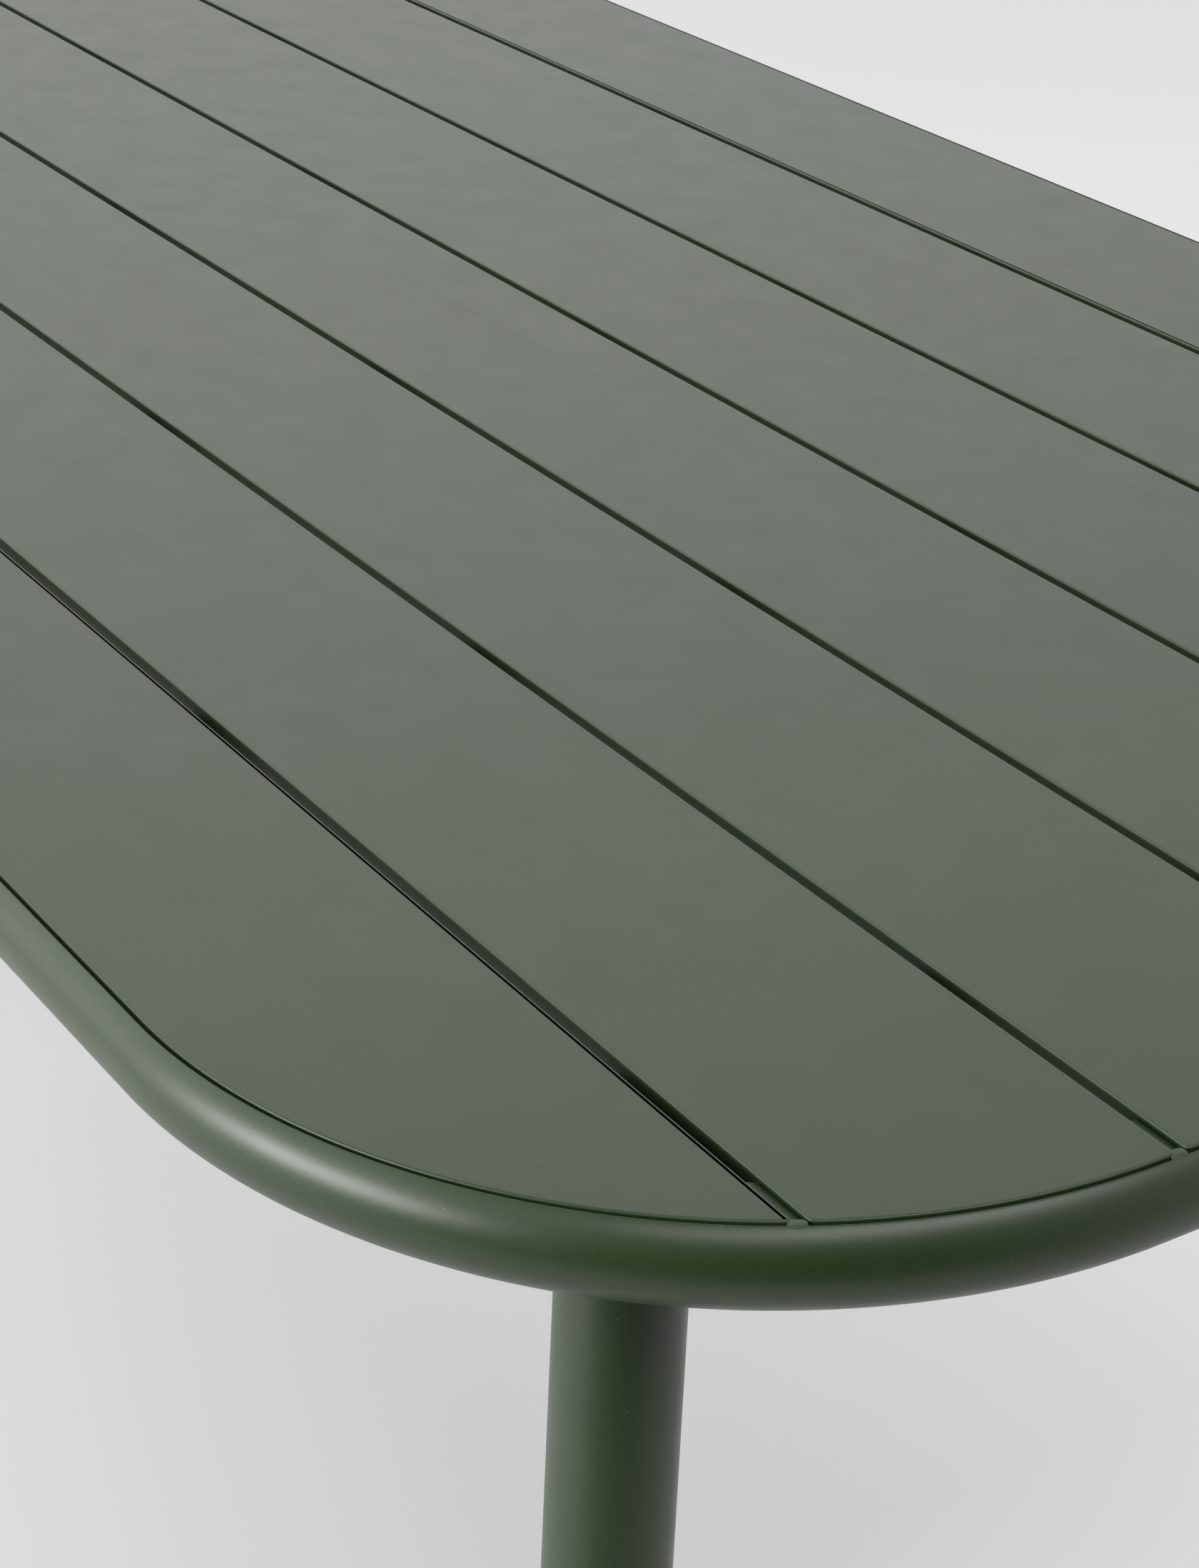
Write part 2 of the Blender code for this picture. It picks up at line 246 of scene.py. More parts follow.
sheet_coat = powder_coat("coat_on_sheet", peel=0.000008, wave=0.00004)
tube_coat = powder_coat("coat_on_tube", peel=0.000012, wave=0.00001)
weld_coat = powder_coat("coat_on_welds", peel=0.00003, wave=0.00001, roughness=0.44)
# Painted shade: the slots' coat is the same green with its mirror turned down, so the lips read darker
# as shade.
slot_coat_painted_shade = powder_coat("coat_in_slots_painted_shade", peel=0.00004, wave=0.00001, roughness=0.66)
slot_shade_shader = slot_coat_painted_shade.node_tree.nodes["Principled BSDF"]
slot_shade_shader.inputs["Specular IOR Level"].default_value = SLOT_SHADE_SPECULAR
print("coats:", sheet_coat.name, tube_coat.name, weld_coat.name, slot_coat_painted_shade.name)


# %% The glides' plastic
def glide_plastic():
    """Matt black moulded plastic with a fine spark-eroded grain."""
    mat = bpy.data.materials.new("glide_plastic")
    mat.use_nodes = True
    tree = mat.node_tree
    shader = tree.nodes["Principled BSDF"]
    where = node(tree, "ShaderNodeTexCoord").outputs["Object"]
    grain = noise(tree, where, 1800.0, 3.0)
    colour = node(tree, "ShaderNodeMix", data_type="RGBA")
    colour.inputs[6].default_value = (0.012, 0.012, 0.013, 1.0)
    colour.inputs[7].default_value = (0.022, 0.022, 0.023, 1.0)
    tree.links.new(spread(tree, grain, 0.0, 1.0), colour.inputs[0])
    tree.links.new(colour.outputs[2], shader.inputs["Base Color"])
    tree.links.new(spread(tree, noise(tree, where, 300.0), 0.50, 0.62), shader.inputs["Roughness"])
    tree.links.new(bump(tree, grain, 0.00003), shader.inputs["Normal"])
    return mat


plastic = glide_plastic()


# %% Putting a finished piece on the bench
def fit(piece, material, slot, *nodes):
    """Paint a piece, let it ride on the bench and let it stand for the nodes it replaces."""
    piece.data.materials.clear()
    piece.data.materials.append(material)
    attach(piece, "root")
    if nodes:
        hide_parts(*nodes)
    return piece


# %% [markdown]
# ## Slats
# Each slat is a strip of thin sheet. The middle ones are plain rectangles, and the outer ones are
# cut to the corner bends. Guillotined and then coated sheet has a soft edge, and that tiny curve
# draws the bright line along every slot, so the edge is a real rounded surface: the strip's
# outline is one parameter of the grid and the edge's profile is the other. Along a slot the
# sheet is folded down into a lip. It is what makes each slot dark and green, since the view into
# the slot ends on painted steel and not on the floor; the lips' coat also mirrors less, which is
# painted shade that darkens the slots further.

# %% The edge profile and the outline it follows
def edge_profile(bottom, top, round_top, round_low, inset, steps=7):
    """(inset, height) from the lower face, round the edge and onto the upper face.

    Both corners are quarter circles: inset = r (1 - cos t), height = r sin t off the face.
    """
    t = np.linspace(0, math.pi / 2, steps)
    low = np.stack([round_low * (1 - np.sin(t)), bottom + round_low * (1 - np.cos(t))], 1)
    high = np.stack([round_top * (1 - np.cos(t)), top - round_top * (1 - np.sin(t))], 1)
    return np.concatenate([[[inset, bottom]], low, high, [[inset, top]]])


def plate_points(outline, profile):
    """Carry an edge profile round a closed outline: point = outline + inset x inward normal."""
    ahead = np.roll(outline, -1, 0) - outline
    ahead /= np.linalg.norm(ahead, axis=1, keepdims=True)
    along = ahead + np.roll(ahead, 1, 0)
    along /= np.linalg.norm(along, axis=1, keepdims=True)
    inward = np.stack([-along[:, 1], along[:, 0]], 1)
    turn = np.clip((along * ahead).sum(1), 0.5, 1.0)[:, None]
    plan = outline[None] + profile[:, None, :1] * (inward / turn)[None]
    height = np.broadcast_to(profile[:, None, 1:], (*plan.shape[:2], 1))
    return np.concatenate([plan, height], axis=-1)


def rounded_corner(start, corner, end, steps=7):
    """A quadratic curve: (1 - t)^2 start + 2 t (1 - t) corner + t^2 end."""
    t = np.linspace(0, 1, steps)[:, None]
    return (1 - t) ** 2 * start + 2 * t * (1 - t) * corner + t ** 2 * end


def strip_outline(y0, y1, half_x, half_y, radius, fillet):
    """Outline of the strip y0..y1 of a rounded rectangle, anticlockwise.

    The end of the strip lies at x = arc centre + sqrt(r^2 - how far y is past the centre^2).
    """
    arc_y = half_y - radius

    def end_x(y):
        over = np.clip(np.abs(y) - arc_y, 0, radius)
        return half_x - radius + np.sqrt(radius ** 2 - over ** 2)

    cut0, cut1 = abs(y0) < half_y - 1e-6, abs(y1) < half_y - 1e-6
    first, last = y0 + fillet * cut0, y1 - fillet * cut1
    bend = arc_y + radius * np.sin(np.linspace(0, math.pi / 2, 73))
    stops = np.concatenate([[first, last], bend, -bend])
    stops = np.unique(np.round(stops[(stops >= first) & (stops <= last)], 7))
    side = np.stack([end_x(stops), stops], 1)
    if cut0:
        x = end_x(np.array(y0))
        side = np.concatenate([rounded_corner(np.array([x - fillet, y0]), np.array([x, y0]),
                                              side[0])[:-1], side])
    if cut1:
        x = end_x(np.array(y1))
        side = np.concatenate([side, rounded_corner(side[-1], np.array([x, y1]),
                                                    np.array([x - fillet, y1]))[1:]])
    return np.concatenate([side, side[::-1] * [-1, 1]])


# %% The folded lips
def lip_reach(y):
    """Half length of the lip at y: its end is welded into the rim's inner side."""
    rho = CORNER_R - RIM_IN - math.sqrt(RIM_R ** 2 - (RIM_DROP - LIP) ** 2) + LIP_INTO
    return ARC_X + math.sqrt(rho ** 2 - max(abs(y) - ARC_Y, 0.0) ** 2)


def lip_points(edge, inward, reach, soft=0.0003, proud=0.00002, steps=9):
    """A strip of sheet on edge along x, its lower corners cut by quarter circles.

    Its top is hidden in the slat and its face stands just proud, so the fold shows no seam.
    """
    t = np.linspace(0, math.pi / 2, steps)
    top, bottom = SEAT_TOP - SHEET / 2, SEAT_TOP - LIP
    face = np.stack([soft * (1 - np.cos(t)), bottom + soft * (1 - np.sin(t))], 1)
    back = face[::-1] * [-1, 1] + [SHEET, 0.0]
    section = np.concatenate([[[-proud, top]], face, back, [[SHEET, top]]])
    section[1, 0] = -proud
    x = np.linspace(-reach, reach, 41)[:, None]
    y = edge + inward * section[None, :, 0]
    return np.stack(np.broadcast_arrays(x, y, section[None, :, 1]), axis=-1)


# %% Make the slats
SLAT_EDGE = 0.00045       # radius of a slat's upper edge
SLAT_FILLET = 0.0014      # radius of its corners in plan

slat_profile = edge_profile(SEAT_TOP - SHEET, SEAT_TOP, SLAT_EDGE, 0.00015, 0.0011)
for i in range(1, SLATS + 1):
    low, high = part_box(f"slat_{i}")
    outline = strip_outline(low.y, high.y, SEAM_X - SEAM_GAP / 2, SEAM_Y - SEAM_GAP / 2,
                            CORNER_R - SEAM_GAP / 2, SLAT_FILLET)
    slat = skin(f"slat_{i}_skin", plate_points(outline, slat_profile))
    fit(slat, sheet_coat, "powder_coat", f"slat_{i}")
    lips = []
    if i > 1:
        lips.append(skin("lip", lip_points(low.y, 1, lip_reach(low.y))))
    if i < SLATS:
        lips.append(skin("lip", lip_points(high.y, -1, lip_reach(high.y))))
    # The lips wear the slots' coat, whose weaker mirror is painted shade.
    fit(join(f"slat_{i}_lips", lips), slot_coat_painted_shade, "powder_coat")
print("slats:", SLATS, "faces each about", len(slat.data.polygons))

# %% [markdown]
# ## Rim
# The rim is a tube bent to a rounded rectangle. Its section is a circle with a rebate cut along
# the top inner side, where the slats drop in flush. Carrying one closed section round one closed
# path gives the whole rim as a single surface without an end. Where the two bent halves meet, at
# mid-length, the weld is dressed flush on top and left as a low bead underneath.

# %% The rim's path and section
def rim_path(straight=24, bend=56):
    """The groove's centre line as places and outward normals, anticlockwise from x = 0."""
    ramp = np.linspace(0, 1, straight + 1)
    near_joint = np.array([0, .25, .5, .75, 1, 1.25, 1.5, 2, 2.5, 3, 4, 6]) * 0.002
    x = np.unique(np.concatenate([near_joint, 0.02 + ramp * (ARC_X - 0.02)]))[:-1]
    turn = np.linspace(0, math.pi / 2, bend + 1)
    y = np.linspace(-ARC_Y, ARC_Y, straight // 2 + 1)[1:-1]
    flat = np.zeros_like
    first = np.stack([ARC_X + CORNER_R * np.sin(turn), -ARC_Y - CORNER_R * np.cos(turn)], 1)
    second = np.stack([ARC_X + CORNER_R * np.cos(turn), ARC_Y + CORNER_R * np.sin(turn)], 1)
    places = [np.stack([x, flat(x) - SEAM_Y], 1), first, np.stack([flat(y) + SEAM_X, y], 1),
              second, np.stack([x[::-1], flat(x) + SEAM_Y], 1)[:-1]]
    normals = [np.stack([flat(x), flat(x) - 1], 1), np.stack([np.sin(turn), -np.cos(turn)], 1),
               np.stack([flat(y) + 1, flat(y)], 1), np.stack([np.cos(turn), np.sin(turn)], 1),
               np.stack([flat(x), flat(x) + 1], 1)[:-1]]
    half, facing = np.concatenate(places), np.concatenate(normals)
    return np.concatenate([half, -half]), np.concatenate([facing, -facing])


def rim_section(steps=72):
    """(outward, up) round the rim's section, from the groove's wall over the outside and back.

    The outside is a circle, outward = -inset + r sin a, up = -drop + r cos a, with a measured
    from the top. The nose where it meets the groove is a small quadratic curve.
    """
    ledge, wall = -(SHEET + CLEAR), SEAM_GAP / 2
    nose_size = 0.0005
    start = math.asin((wall + nose_size + RIM_IN) / RIM_R)
    end = 2 * math.pi - math.acos((ledge + RIM_DROP) / RIM_R)
    a = np.linspace(start, end, steps)
    circle = np.stack([-RIM_IN + RIM_R * np.sin(a), -RIM_DROP + RIM_R * np.cos(a)], 1)
    nose = rounded_corner(np.array([wall, -nose_size]), np.array([wall, 0.0]), circle[0])
    return np.concatenate([[[wall, ledge]], nose[:-1], circle, [[-0.008, ledge], [-0.003, ledge]]])


# %% Make the rim
JOINT_BEAD = 0.0004       # height of the mid-length weld under the rim
JOINT_WIDTH = 0.0022

path, facing = rim_path()
section = rim_section()
axis = np.array([-RIM_IN, -RIM_DROP])
underside = np.clip((axis[1] - section[:, 1]) / RIM_R + 0.25, 0, 1)[None]
swell = JOINT_BEAD / RIM_R * np.exp(-(path[:, :1] / JOINT_WIDTH) ** 2) * underside
bulged = axis + (section - axis)[None] * (1 + swell[..., None])
rim_points = np.concatenate([path[:, None] + facing[:, None] * bulged[..., :1],
                             SEAT_TOP + bulged[..., 1:]], axis=-1)
rim = skin("rim_skin", rim_points, wrap_rows=True)
fit(rim, tube_coat, "powder_coat", "rim_half_px", "rim_half_nx")
print("rim:", rim_points.shape[0], "sections of", rim_points.shape[1], "points")

# %% [markdown]
# ## Cross tubes
# Round tubes run under the slats' folded lips. Their ends are coped, that is cut to saddle the
# round rim, and welded all the way round. Tube and weld bead are one surface here: each line
# along the tube stops where it meets the rim, and the radius swells into a rippled bead just
# before that.

# %% The cross tubes and their weld beads
def bead_swell(distance, size, angle, ripples, ripple=0.14):
    """How far a weld bead stands out: size sqrt(1 - (distance / size)^2), with ripples round."""
    mound = np.sqrt(np.clip(1 - (distance / size) ** 2, 0, 1))
    return size * 0.8 * mound * (1 + ripple * np.cos(ripples * angle))


def rim_reach(x, z):
    """Half width between the rim's inner sides at x and height z.

    The rim's surface is rho = axis radius - sqrt(r^2 - (z - axis z)^2) from the bend's centre.
    """
    rho = CORNER_R - RIM_IN - np.sqrt(RIM_R ** 2 - (z - (SEAT_TOP - RIM_DROP)) ** 2)
    return ARC_Y + np.sqrt(rho ** 2 - np.clip(np.abs(x) - ARC_X, 0, None) ** 2)


def cross_tube_points(x, height, radius, around=56, bead=0.0024):
    """Lines along the tube at angle a, each from rim to rim."""
    a = np.linspace(0, 2 * math.pi, around, endpoint=False)[None]
    near = np.array([-0.6, 0.0, 0.12, 0.3, 0.5, 0.7, 0.85, 0.95, 1.0, 1.04, 1.3, 4.0]) * bead
    inner = np.linspace(0.0, 1.0, 15)[1:-1]
    reach = rim_reach(x + radius * np.cos(a), height + radius * np.sin(a))
    start = -reach + near[:, None]
    middle = start[-1] + (2 * np.abs(start[-1])) * inner[:, None]
    y = np.concatenate([start, middle, -start[::-1]])
    distance = np.clip(reach - np.abs(y), 0, None)
    r = radius + bead_swell(distance, bead, a, 18)
    return np.stack([x + r * np.cos(a), y, height + r * np.sin(a)], axis=-1)


for i in range(1, CROSS_TUBES + 1):
    low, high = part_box(f"cross_tube_{i}")
    points = cross_tube_points((low.x + high.x) / 2, (low.z + high.z) / 2, CROSS_R)
    tube = skin(f"cross_tube_{i}_skin", points, sharp=60)
    fit(tube, tube_coat, "powder_coat", f"cross_tube_{i}")
print("cross tubes:", CROSS_TUBES)


# %% [markdown]
# ## Welds
# A weld bead is a rippled sausage that follows the joint. One function lays it along any line:
# the ripples are the frozen pool's edges, and both ends taper off.

# %% A weld bead along a line
def bead_points(line, radius, pitch=0.0016, around=12, squash=1.0):
    """Carry a circle of radius r (1 + 0.1 cos(2 pi s / pitch)) sqrt(end taper) along a line."""
    ahead = np.gradient(line, axis=0)
    ahead /= np.linalg.norm(ahead, axis=1, keepdims=True)
    side = np.cross(ahead, [0.0, 0.0, 1.0])
    side /= np.linalg.norm(side, axis=1, keepdims=True)
    up = np.cross(side, ahead)
    step = np.linalg.norm(np.diff(line, axis=0), axis=1)
    s = np.concatenate([[0], np.cumsum(step)])
    taper = np.sqrt(np.clip(np.minimum(s, s[-1] - s) / (1.5 * radius) + 0.04, 0.04, 1))
    r = radius * taper * (1 + 0.10 * np.cos(2 * math.pi * s / pitch))
    a = np.linspace(0, 2 * math.pi, around, endpoint=False)
    ring = side[:, None] * np.cos(a)[None, :, None] + squash * up[:, None] * np.sin(a)[None, :, None]
    return line[:, None] + r[:, None, None] * ring


def straight_line(start, end, steps):
    """Evenly spaced points from start to end."""
    t = np.linspace(0, 1, steps)[:, None]
    return np.array(start) * (1 - t) + np.array(end) * t


# %% Tack welds between lips and cross tubes
TACK = 0.0045             # half length of one tack
TACK_R = 0.0011
TACK_LIFT = 0.0003        # tack's middle, off the tube


def saddle_line(x, y, height, steps=22):
    """A line over the tube's crown: height + sqrt(r^2 - how far it is from the axis^2)."""
    away = np.linspace(-TACK, TACK, steps)
    z = height + np.sqrt(CROSS_R ** 2 - away ** 2) + TACK_LIFT
    return np.stack([x + away, np.full(steps, y), z], axis=1)


for i in range(1, CROSS_TUBES + 1):
    low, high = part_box(f"cross_tube_{i}")
    x, axis_z = (low.x + high.x) / 2, (low.z + high.z) / 2
    tacks = []
    for k in range(1, SLATS):
        below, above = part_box(f"slat_{k}")[1].y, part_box(f"slat_{k + 1}")[0].y
        for y in (below - SHEET - TACK_LIFT, above + SHEET + TACK_LIFT):
            tacks.append(skin("tack", bead_points(saddle_line(x, y, axis_z), TACK_R, around=8),
                              sharp=60))
    fit(join(f"slat_tacks_{i}", tacks), weld_coat, "powder_coat")
print("tacks on each cross tube:", 2 * (SLATS - 1))

# %% [markdown]
# ## Slot ends
# A slot stops just short of the groove. There a small weld ties the corner of the slat on its
# near side to the rim, filling the groove for about the slot's width. It is ground nearly flush,
# so it is a low rounded pad: a superellipsoid, flatter and squarer than a ball.

# %% The small welds at the slots' ends
def pad_points(centre, size, turn, around=24, rows=13, power=0.6):
    """A superellipsoid: each half size times sign(f) |f|^power of a ball's cosines and sines."""
    def soft(f):
        return np.sign(f) * np.abs(f) ** power
    v = np.linspace(-math.pi / 2, math.pi / 2, rows)[1:-1, None]
    a = np.linspace(0, 2 * math.pi, around, endpoint=False)[None]
    local = np.stack([size[0] * soft(np.cos(v)) * soft(np.cos(a)),
                      size[1] * soft(np.cos(v)) * soft(np.sin(a)),
                      size[2] * soft(np.sin(v)) + 0 * a], axis=-1)
    c, s = math.cos(turn), math.sin(turn)
    return np.array(centre) + local @ np.array([[c, s, 0], [-s, c, 0], [0, 0, 1]])


PAD_LONG, PAD_WIDE, PAD_DEEP = 0.0019, 0.0013, 0.0006
pads = []
for k in range(1, SLATS):
    slot_y = (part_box(f"slat_{k}")[1].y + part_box(f"slat_{k + 1}")[0].y) / 2
    over = max(abs(slot_y) - ARC_Y, 0.0)
    edge_x = ARC_X + math.sqrt(CORNER_R ** 2 - over ** 2)
    tilt = math.asin(over / CORNER_R) * (1 if slot_y > 0 else -1)
    for side in (-1, 1):
        spot = (side * (edge_x - 0.0007), slot_y - 0.0008 * side, SEAT_TOP - PAD_DEEP - 0.00008)
        turn = math.pi / 2 + side * tilt
        pads.append(skin("pad", pad_points(spot, (PAD_LONG, PAD_WIDE, PAD_DEEP), turn)))
fit(join("slot_end_welds", pads), weld_coat, "powder_coat")
print("slot end welds:", 2 * (SLATS - 1))

# %% [markdown]
# ## Legs
# The legs lean outwards along each corner's diagonal. A leg is a true cylinder about its leaning
# axis, cut by level planes. The grid's rows are level cuts, so the weld at its top and the clean
# lower end follow the same formula with another radius.

# %% Leaning cylinders
LEG_R = 0.0125
LEG_LEAN = math.radians(6.4)
LEG_IN = CORNER_R - RIM_IN - (RIM_R + LEG_R + CLEAR) / math.cos(LEG_LEAN)


def leg_axis(sx, sy):
    """A point on the leg's axis at the rim's height, and the way it runs down."""
    out = np.array([sx, sy, 0.0]) / math.sqrt(2)
    point = np.array([sx * ARC_X, sy * ARC_Y, SEAT_TOP - RIM_DROP]) + out * LEG_IN
    return point, out * math.sin(LEG_LEAN) - np.array([0, 0, math.cos(LEG_LEAN)])


def leaning_points(sx, sy, heights, radii, around=72):
    """The cylinder's line at angle a, followed along the axis until it meets each level."""
    point, down = leg_axis(sx, sy)
    side = np.cross(down, [0.0, 0.0, 1.0])
    side /= np.linalg.norm(side)
    front = np.cross(side, down)
    a = np.linspace(0, 2 * math.pi, around, endpoint=False)
    radii = np.broadcast_to(radii, (len(heights), around))[..., None]
    on_ring = point + radii * (side * np.cos(a)[:, None] + front * np.sin(a)[:, None])[None]
    travel = (np.array(heights)[:, None] - on_ring[..., 2]) / down[2]
    return on_ring + travel[..., None] * down


# %% Make the legs
LEG_BEAD = 0.0030         # weld at the leg's top

for tag, (sx, sy) in CORNERS.items():
    low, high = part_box(f"leg_{tag}")
    off_top = np.array([-0.0003, 0, 0.1, 0.25, 0.45, 0.65, 0.8, 0.92, 1.0, 1.1, 2, 4]) * LEG_BEAD
    off_top[0] = -CLEAR
    body = np.linspace(high.z - 4.5 * LEG_BEAD, low.z + 0.001, 24)
    heights = np.concatenate([high.z - off_top, body, low.z + np.array([0.0004, 0.0001, 0])])
    trim = np.zeros(len(heights))
    trim[-2:] = [0.00015, 0.0004]
    around = 72
    a = np.linspace(0, 2 * math.pi, around, endpoint=False)[None]
    bead = bead_swell(np.clip(high.z - heights, 0, None)[:, None], LEG_BEAD, a, 24)
    radii = LEG_R - trim[:, None] + bead
    leg = skin(f"leg_{tag}_skin", leaning_points(sx, sy, heights, radii, around), sharp=60)
    fit(leg, tube_coat, "powder_coat", f"leg_{tag}")
print("legs:", len(CORNERS), "of", len(leg.data.polygons), "faces")


# %% [markdown]
# ## Corner plates
# A flat plate ties each leg to the rim and the end cross tube. It is cut with an arc that follows
# the rim, and welded along that arc and along the cross tube.

# %% Make the corner plates and their welds
PLATE_ROUND = 0.0050
BEAD_R = 0.0019


def plate_outline(sx, sy, inner, radius):
    """A square corner closed by an arc about the bend's centre, its three corners rounded."""
    first = math.asin(inner / radius)
    cut = PLATE_ROUND / radius
    a = np.linspace(first + cut, math.pi / 2 - first - cut, 40)
    arc = radius * np.stack([np.cos(a), np.sin(a)], 1)
    far = math.sqrt(radius ** 2 - inner ** 2)
    inside = rounded_corner(np.array([inner, inner + PLATE_ROUND]), np.array([inner, inner]),
                            np.array([inner + PLATE_ROUND, inner]))
    right = rounded_corner(np.array([far - PLATE_ROUND, inner]), np.array([far, inner]), arc[0])
    left = rounded_corner(arc[-1], np.array([inner, far]), np.array([inner, far - PLATE_ROUND]))
    loop = np.concatenate([inside, right[:-1], arc, left[1:]]) * [sx, sy]
    loop += [sx * ARC_X, sy * ARC_Y]
    return loop if sx * sy > 0 else loop[::-1]


for tag, (sx, sy) in CORNERS.items():
    low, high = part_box(f"corner_plate_{tag}")
    inner = min(abs(low.x), abs(high.x)) - ARC_X
    radius = math.hypot(max(abs(low.x), abs(high.x)) - ARC_X, inner)
    radius = max(radius, CORNER_R - PLATE_MARGIN)
    profile = edge_profile(low.z, high.z, 0.0003, 0.0005, 0.0015)
    plate = skin(f"corner_plate_{tag}_skin", plate_points(plate_outline(sx, sy, inner, radius), profile))
    fit(plate, sheet_coat, "powder_coat", f"corner_plate_{tag}")

    first = math.asin(inner / radius) + 0.09
    a = np.linspace(first, math.pi / 2 - first, 150)
    arc = np.stack([sx * (ARC_X + radius * np.cos(a)), sy * (ARC_Y + radius * np.sin(a)),
                    np.full_like(a, high.z - 0.0004)], 1)
    reach = radius * math.cos(first) - 0.004
    run = straight_line((sx * (ARC_X + inner), sy * (ARC_Y + inner + 0.008), high.z),
                        (sx * (ARC_X + inner), sy * (ARC_Y + reach), high.z), 110)
    beads = [skin("bead", bead_points(line, BEAD_R), sharp=60) for line in (arc, run)]
    fit(join(f"corner_beads_{tag}", beads), weld_coat, "powder_coat")
print("corner plates:", len(CORNERS))

# %% [markdown]
# ## Glides
# Each leg ends in a plastic glide pressed into the tube. Only its flange shows: a short drum with
# a flat sole, a worn-in chamfer and a thin shadow line under the steel.

# %% Make the glides
for tag, (sx, sy) in CORNERS.items():
    low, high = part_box(f"leg_{tag}")
    flange = low.z - CLEAR
    heights = np.array([0, 0, 0.00012, 0.0004, 0.0008, 0.0014, 0.0022, 0.003, 0.0038, 0.0044,
                        flange - 0.0001, flange, flange, low.z + 0.006])
    radii = LEG_R - np.array([0.006, 0.0016, 0.0012, 0.0007, 0.0003, 0.0001, 0, 0, 0, 0,
                              0.00005, 0.0003, 0.0024, 0.0024])
    glide = skin(f"foot_{tag}_skin", leaning_points(sx, sy, heights, radii[:, None]), sharp=40)
    fit(glide, plastic, "glide_plastic", f"foot_{tag}")
print("glides:", len(CORNERS))

# %% [markdown]
# ## Studio
# A pale floor, painted darker towards the camera as shade, a white surround behind the bench and
# a dark room behind the camera. What the seat mirrors is the white side, and what the rim's front
# mirrors is the dark side, which is why one colour of paint shows as pale grey above and deep
# green below. Two soft boxes add the highlights: a large one overhead, and one low at the side
# that draws the bright line on the rim.

# %% Floor
TOWARDS_VIEW = Vector((0.834, -0.552, 0.0))
SIDEWAYS = Vector((-0.552, -0.834, 0.0))
FLOOR_R = 2.3
FLOOR_AT = TOWARDS_VIEW * -1.05


def pale_floor_painted_shade(around=128):
    """A thin round floor with its top at z = 0, its colour painted darker towards the viewer as shade.
    """
    a = np.linspace(0, 2 * math.pi, around, endpoint=False)
    ring = np.stack([FLOOR_AT.x + FLOOR_R * np.cos(a), FLOOR_AT.y + FLOOR_R * np.sin(a),
                     np.zeros(around)], 1)
    floor = skin("floor", np.stack([ring - [0, 0, 0.02], ring]))
    mat = bpy.data.materials.new("pale_floor_painted_shade")
    mat.use_nodes = True
    tree = mat.node_tree
    shader = tree.nodes["Principled BSDF"]
    where = node(tree, "ShaderNodeTexCoord").outputs["Object"]
    # Painted shade: the colour falls from 0.84 to 0.50 towards the viewer's side, standing in for the
    # dim room there.
    shade_towards_view = node(tree, "ShaderNodeVectorMath", operation="DOT_PRODUCT")
    shade_towards_view.inputs[1].default_value = TOWARDS_VIEW
    tree.links.new(where, shade_towards_view.inputs[0])
    colour = node(tree, "ShaderNodeMix", data_type="RGBA")
    colour.inputs[6].default_value = (0.84, 0.84, 0.84, 1.0)
    colour.inputs[7].default_value = (0.50, 0.50, 0.50, 1.0)
    tree.links.new(spread(tree, shade_towards_view.outputs["Value"], 0.0, 1.0, -0.1, 0.9), colour.inputs[0])
    tree.links.new(colour.outputs[2], shader.inputs["Base Color"])
    shader.inputs["Roughness"].default_value = 0.9
    floor.data.materials.append(mat)
    return floor


floor = pale_floor_painted_shade()


# %% Directions in the studio
def towards(turn, height):
    """Unit vector at these degrees: turn from the viewer's side, height above the horizon."""
    turn, height = math.radians(turn), math.radians(height)
    level = TOWARDS_VIEW * math.cos(turn) + SIDEWAYS * math.sin(turn)
    return (level * math.cos(height) + Vector((0, 0, math.sin(height)))).normalized()


# %% Surround
SURROUND = ((0.0, 0.0), (0.08, 0.01), (0.20, 0.42), (0.50, 0.70), (1.0, 1.22))
GLOWS = (                 # turn, height, start, end, amount
    (92, 25, 0.45, 0.95, 1.15),
    (165, 37, 0.88, 1.0, 0.48),
    (0, 90, 0.60, 1.0, -0.60),
)


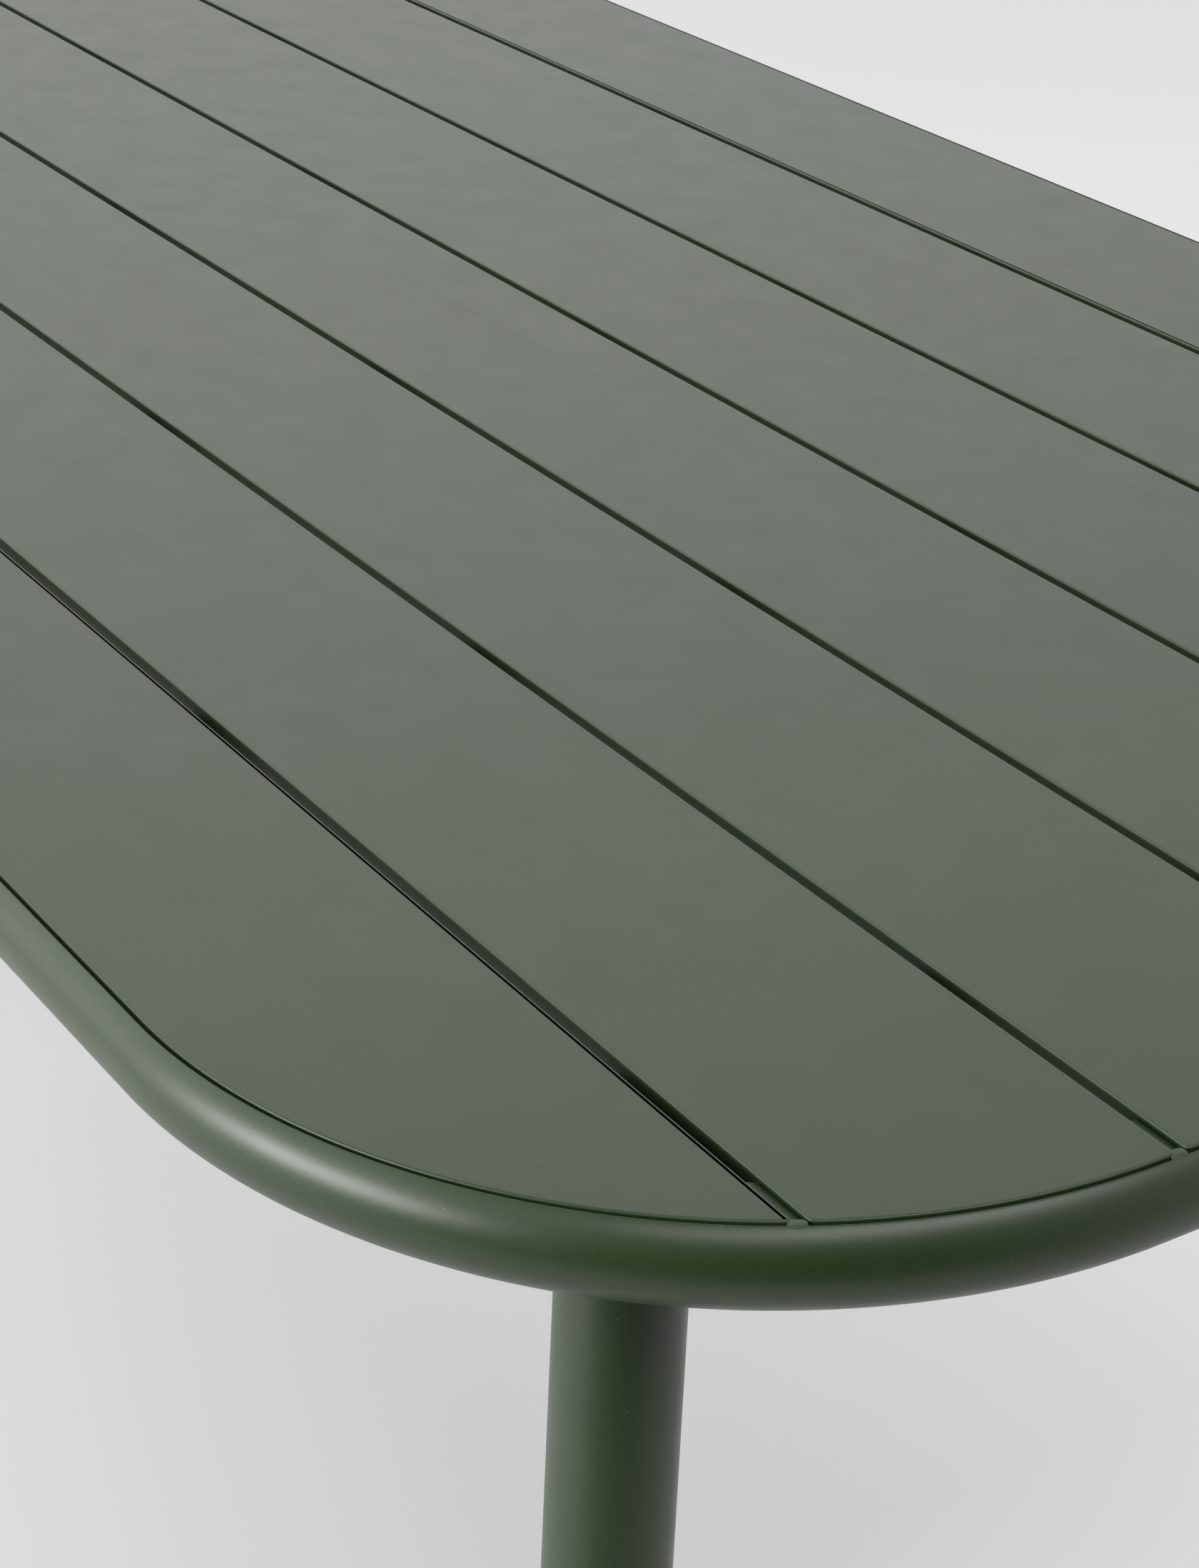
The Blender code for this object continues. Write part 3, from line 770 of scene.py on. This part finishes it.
def studio_world():
    """Radiance = a ramp from the dark side to the bright one + two glows about their axes."""
    world = bpy.data.worlds.new("studio")
    world.use_nodes = True
    tree = world.node_tree
    back = tree.nodes["Background"]
    way = node(tree, "ShaderNodeTexCoord").outputs["Generated"]

    def along(axis, amount, start, end, shape):
        dot = node(tree, "ShaderNodeVectorMath", operation="DOT_PRODUCT")
        dot.inputs[1].default_value = axis
        tree.links.new(way, dot.inputs[0])
        made = node(tree, "ShaderNodeMapRange", interpolation_type=shape)
        for key, value in (("From Min", start), ("From Max", end), ("To Max", amount)):
            made.inputs[key].default_value = value
        tree.links.new(dot.outputs["Value"], made.inputs["Value"])
        return made.outputs["Result"]

    ramp = node(tree, "ShaderNodeValToRGB")
    stops = ramp.color_ramp.elements
    while len(stops) < len(SURROUND):
        stops.new(0.5)
    for stop, (place, value) in zip(stops, SURROUND):
        stop.position = place
        stop.color = (value, value, value, 1.0)
    tree.links.new(along(-TOWARDS_VIEW, 1.0, -1.0, 1.0, "LINEAR"), ramp.inputs[0])

    total = ramp.outputs["Color"]
    for turn, height, start, end, amount in GLOWS:
        add = node(tree, "ShaderNodeMath", operation="ADD")
        tree.links.new(total, add.inputs[0])
        tree.links.new(along(towards(turn, height), amount, start, end, "SMOOTHSTEP"), add.inputs[1])
        total = add.outputs[0]

    seen = node(tree, "ShaderNodeLightPath")
    plain = node(tree, "ShaderNodeMix", data_type="FLOAT")
    plain.inputs[3].default_value = 1.0
    tree.links.new(seen.outputs["Is Camera Ray"], plain.inputs[0])
    tree.links.new(total, plain.inputs[2])
    back.inputs["Color"].default_value = (1.0, 1.0, 1.0, 1.0)
    tree.links.new(plain.outputs[0], back.inputs["Strength"])
    bpy.context.scene.world = world


studio_world()


# %% Soft boxes
NEAR_CORNER = Vector((0.62, -0.15, 0.44))


def soft_box(name, turn, height, distance, wide, high, radiance):
    """A rectangular area light aimed at the near corner; its power is radiance x pi x area.

    wide and high are the angles it fills, in degrees.
    """
    way = towards(turn, height)
    lamp = bpy.data.lights.new(name, "AREA")
    lamp.shape = "RECTANGLE"
    lamp.size = 2 * distance * math.tan(math.radians(wide) / 2)
    lamp.size_y = 2 * distance * math.tan(math.radians(high) / 2)
    lamp.energy = radiance * math.pi * lamp.size * lamp.size_y
    made = bpy.data.objects.new(name, lamp)
    made.location = NEAR_CORNER + way * distance
    made.rotation_euler = (-way).to_track_quat("-Z", "Y").to_euler()
    made.visible_camera = False
    bpy.context.scene.collection.objects.link(made)
    return made


soft_box("side_box", 66, 10, 1.6, 38, 18, 15.0)
soft_box("top_box", -34, 56, 2.2, 60, 14, 7.5)

# %% [markdown]
# ## Camera
# A short telephoto looks down over the near corner. The place and angles are those of a level
# tripod head: a turn about the vertical, a dip below the horizon and a slight roll.

# %% Camera
CAMERA_AT = (1.0226, -0.4580, 0.7735)
TURN, DIP, ROLL = 0.98649, 0.48311, -0.02202
LENS = 75.20              # mm on a 36 mm long side


def camera_axes(turn, dip, roll):
    """Right, up and back of a camera turned about the vertical, dipped and then rolled."""
    ahead = Vector((-math.sin(turn) * math.cos(dip), math.cos(turn) * math.cos(dip), -math.sin(dip)))
    level = Vector((math.cos(turn), math.sin(turn), 0.0))
    down = ahead.cross(level)
    right = math.cos(roll) * level + math.sin(roll) * down
    return right, ahead.cross(right) * -1, -ahead


lens = bpy.data.cameras.new("camera")
lens.lens = LENS
lens.sensor_width = 36.0
lens.clip_start = 0.01
camera = bpy.data.objects.new("camera", lens)
right, up, back = camera_axes(TURN, DIP, ROLL)
camera.matrix_world = Matrix.Translation(CAMERA_AT) @ Matrix((right, up, back)).transposed().to_4x4()
bpy.context.scene.collection.objects.link(camera)
bpy.context.scene.camera = camera
bpy.context.scene.view_settings.view_transform = "Standard"
